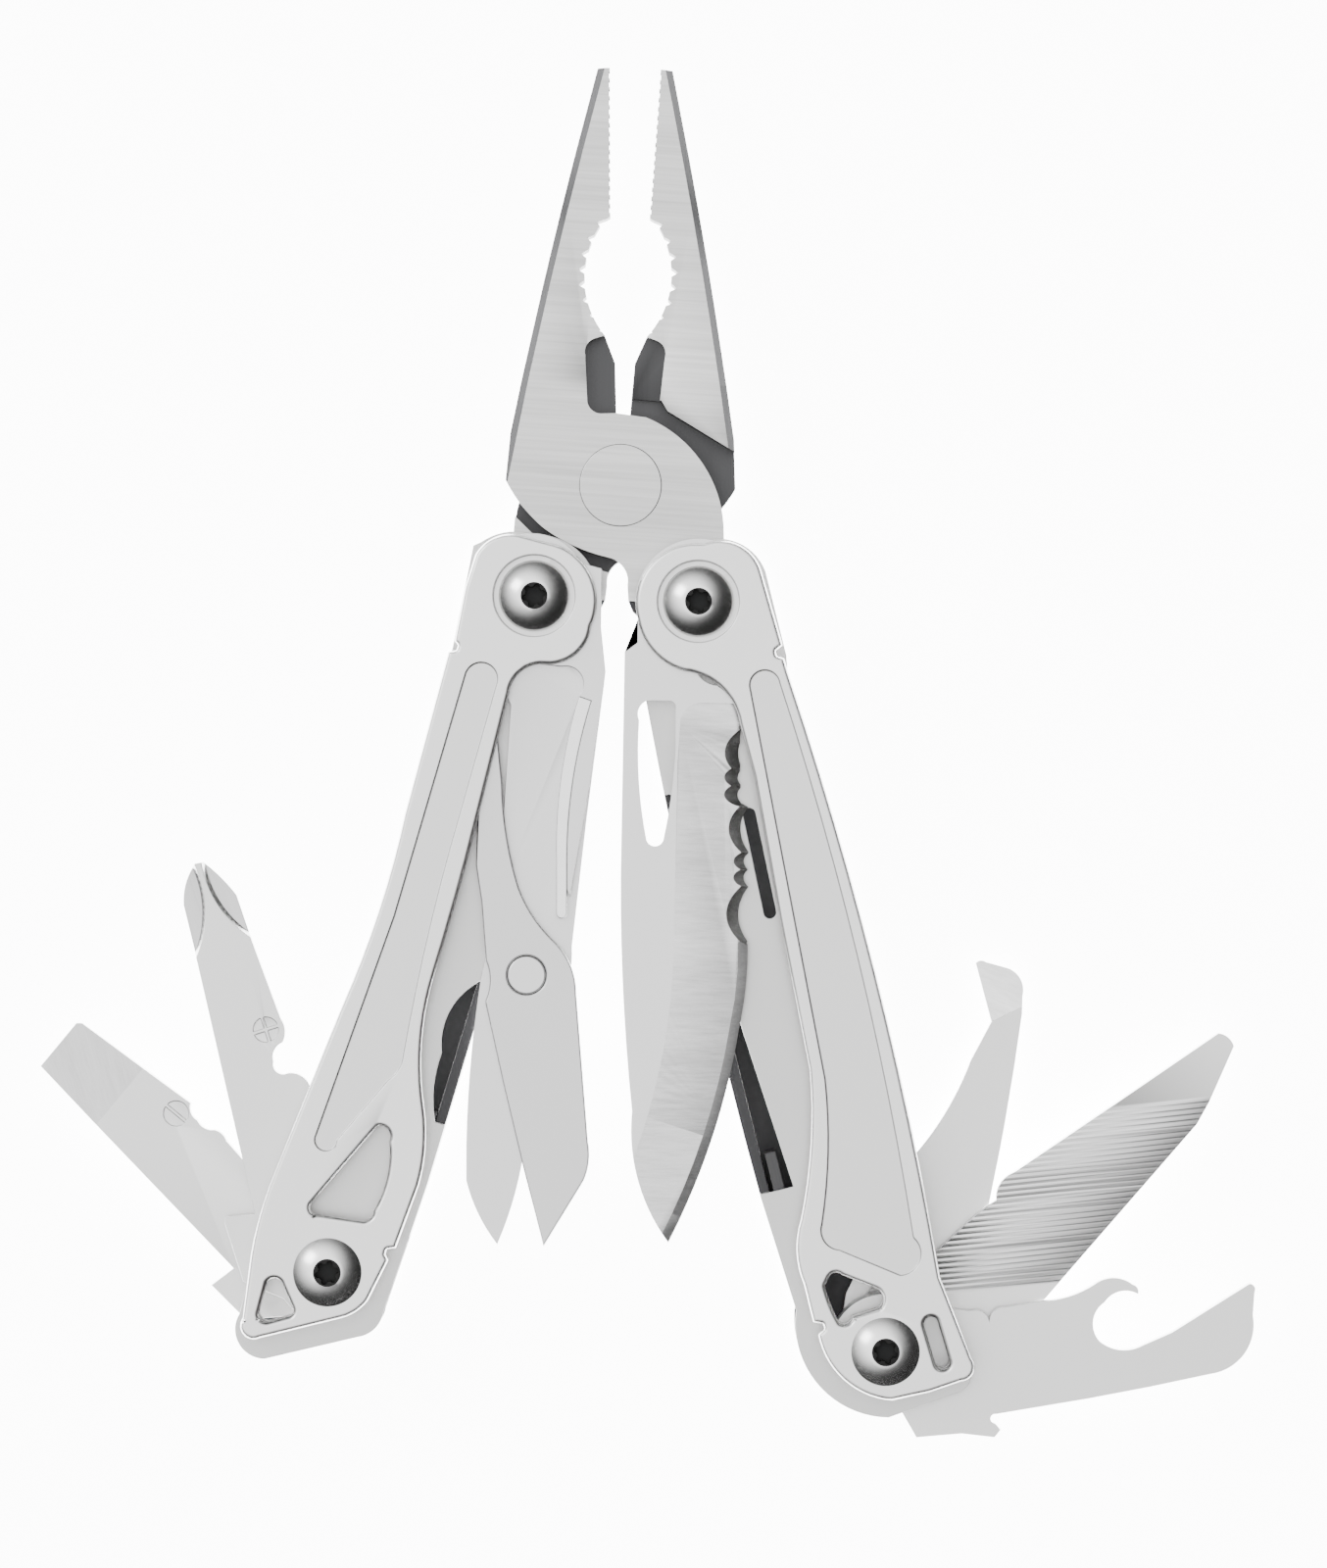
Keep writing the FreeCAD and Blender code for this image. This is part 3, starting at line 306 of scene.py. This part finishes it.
# Painted shade: a near-black tone inside each screw's driver socket stands in for the shade in the recess.
socket_painted_shade = turned_bright("screw_socket_painted_shade", (0.02, 0.02, 0.02), 0.5)
washer_finish = turned_bright("washer_plain_steel", (0.45, 0.45, 0.45), 0.35)
socket_reach = 1.36 * mm
socket_floor = 13.0 * mm
dome_top = 16.98 * mm
for name in slot_of_node:
    if slot_of_node[name] == "polished_screw" and name.endswith("screw"):
        middle = np.array([v.co[:2] for v in nodes[name].data.vertices]).mean(axis=0)

        def inside_socket(face, middle=middle):
            """Faces of the driver socket, painted near-black as shade: close to the axis and below the
            dome.
            """
            at = face.calc_center_median()
            near = math.hypot(at.x - middle[0], at.y - middle[1]) < socket_reach
            return near and socket_floor < at.z < dome_top

        finished(name, screw_finish, 0.10, zones=[(socket_painted_shade, inside_socket)])
    elif slot_of_node[name] == "polished_screw":
        finished(name, screw_finish, 0.12)
    elif slot_of_node[name] == "washer_steel":
        finished(name, washer_finish, 0.06)


# ---------------------------------------------------------------- knife
# Part-serrated blade: satin flats, sides ground hollow straight across, and a
# coarse bright bevel with scalloped serrations at the cutting edge.
flat_finish = satin("blade_flat_steel", (0.72, 0.72, 0.72), 0.36)
ground_finish = brushed(
    "blade_ground_steel", 1.0, (0.84, 0.84, 0.84), 0.26, line=1.0, depth=0.010, along=45.0, across=2600.0)
edge_finish = brushed(
    "blade_edge_steel", 1.0, (0.36, 0.36, 0.36), 0.34, line=0.9, depth=0.012, along=60.0, across=7000.0)


def hollow_side(face):
    return 0.97 < abs(face.normal.z) < 0.9996


def edge_side(face):
    return 0.3 < abs(face.normal.z) <= 0.97


blade_zones = [(ground_finish, hollow_side), (edge_finish, edge_side)]
finished("knife_blade", flat_finish, 0.07, 2, 24.0, zones=blade_zones)


# ---------------------------------------------------------------- scissors
# Blanked from thin sheet; the lever turns on its own flush rivet, and a bright
# leaf spring lies in the pad of the fixed half.
scissor_finish = satin("scissor_satin_steel", (0.68, 0.68, 0.68), 0.34)
lever_finish = satin("scissor_lever_steel", (0.62, 0.62, 0.62), 0.36)
leaf_finish = turned_bright("scissor_leaf_steel", (0.82, 0.82, 0.82), 0.24)
finished("scissors_base", scissor_finish, 0.22, 3)
finished("scissors_lever", lever_finish, 0.22, 3)
finished("scissors_rivet", scissor_finish, 0.22, 3)
finished("scissors_spring", leaf_finish, 0.14)


# ---------------------------------------------------------------- small tools
# Blanked, hardened and satin finished; the driver tip and the opener's lip are
# ground, and the file is cut across in fine ridges.
tool_finish = satin("tool_satin_steel", (0.72, 0.72, 0.715), 0.36)
ground_tip = brushed("tool_ground_steel", 70.0, (0.60, 0.60, 0.60), 0.30, line=0.6, along=90.0)
lip_finish = brushed(
    "opener_lip_steel", 20.0, (0.88, 0.88, 0.87), 0.34, line=0.9, depth=0.02, along=300.0, across=2400.0)
ridge_finish = brushed(
    "file_ridge_steel", -8.0, (0.84, 0.84, 0.84), 0.32, line=0.45, along=90.0, across=4000.0)


def sloping(face):
    return 0.3 < abs(face.normal.z) < 0.9996


scoop_start = -28.0 * mm
scoop_low = 8.6 * mm
scoop_high = 10.2 * mm


def driver_scoop(face):
    """Floors of the scoops that leave the cross-shaped tip."""
    at = face.calc_center_median()
    return at.y > scoop_start and scoop_low < at.z < scoop_high


finished("phillips_driver", tool_finish, 0.16, 3, zones=[(ground_tip, driver_scoop)])
finished("flat_driver", tool_finish, 0.16, 3, zones=[(ground_tip, sloping)])
finished("package_opener", tool_finish, 0.18, 3, zones=[(lip_finish, sloping)])
finished("can_opener", tool_finish, 0.22, 3)
finished("file", tool_finish, 0.04, 1, zones=[(ridge_finish, sloping)])


# ---------------------------------------------------------------- floor, light and camera
# A plain white table with a painted glow: it gives off light of its own in a disc
# round the tool and fades away from it, washing out the shadows; a large soft light
# overhead in a dark room, and a long lens looking straight down.
floor_mesh = bpy.data.meshes.new("table_top")
floor_mesh.from_pydata([(-3, -3, 0), (3, -3, 0), (3, 3, 0), (-3, 3, 0)], [], [(0, 1, 2, 3)])
floor = bpy.data.objects.new("table_top", floor_mesh)
bpy.context.scene.collection.objects.link(floor)
table = Finish("white_table_with_painted_glow", Roughness=0.9)
# Painted glow: the table top gives off light in a disc round the tool, washing out its shadows.
table.shader.inputs["Emission Strength"].default_value = 11.0
paper = table.noise(8.0, detail=2.0)
far = table.node("ShaderNodeVectorMath", {"operation": "LENGTH"}, 1, i0=table.place())
near = table.ramp(far, (0.125, 1.0), (0.22, 0.02))
white = table.blend(paper, (0.95, 0.95, 0.95), (0.97, 0.97, 0.97))
painted_glow = table.blend(near, (0.02, 0.02, 0.02), (1.0, 1.0, 1.0))
floor_mesh.materials.append(table.output(Base_Color=white, Emission_Color=painted_glow))

world = bpy.data.worlds.new("soft_sky")
bpy.context.scene.world = world
world.use_nodes = True
sky_tree = world.node_tree
sky_tree.nodes.clear()
sky_where = sky_tree.nodes.new("ShaderNodeTexCoord")
sky_toward = sky_tree.nodes.new("ShaderNodeVectorMath")
sky_toward.operation = "DOT_PRODUCT"
sky_toward.inputs[1].default_value = (-0.30, 0.24, 0.92)
sky_ramp = sky_tree.nodes.new("ShaderNodeValToRGB")
sky_back = sky_tree.nodes.new("ShaderNodeBackground")
sky_out = sky_tree.nodes.new("ShaderNodeOutputWorld")
sky_tree.links.new(sky_where.outputs["Generated"], sky_toward.inputs[0])
sky_tree.links.new(sky_toward.outputs["Value"], sky_ramp.inputs[0])
sky_tree.links.new(sky_ramp.outputs[0], sky_back.inputs[0])
sky_tree.links.new(sky_back.outputs[0], sky_out.inputs[0])
sky_stops = ((0.0, 0.005), (0.3, 0.01), (0.5, 0.06), (0.69, 0.38), (0.86, 0.9), (1.0, 1.0))
for index, (position, shade) in enumerate(sky_stops):
    elements = sky_ramp.color_ramp.elements
    element = elements[index] if index < 2 else elements.new(position)
    element.position = position
    element.color = (shade, shade, shade, 1)
sky_back.inputs[1].default_value = 2.9


def soft_light(name, where, aim, size, power):
    """Square area light turned towards a point."""
    light = bpy.data.lights.new(name, "AREA")
    light.size = size
    light.energy = power
    lamp = bpy.data.objects.new(name, light)
    bpy.context.scene.collection.objects.link(lamp)
    lamp.location = where
    lamp.rotation_euler = (Vector(aim) - Vector(where)).to_track_quat("-Z", "Y").to_euler()


soft_light("left_softbox", (-0.75, 0.45, 0.75), (0, 0, 0), 0.4, 4.0)

camera = bpy.data.cameras.new("camera")
camera.lens = 200.0
camera.sensor_width = 36.0
camera.clip_end = 20.0
view_point = bpy.data.objects.new("camera", camera)
bpy.context.scene.collection.objects.link(view_point)
picture_height = 0.17204
view_point.location = (0.000293, -0.003905, 0.014 + picture_height * 200.0 / 36.0)
view_point.rotation_euler = (0, 0, math.radians(2.0))
bpy.context.scene.camera = view_point
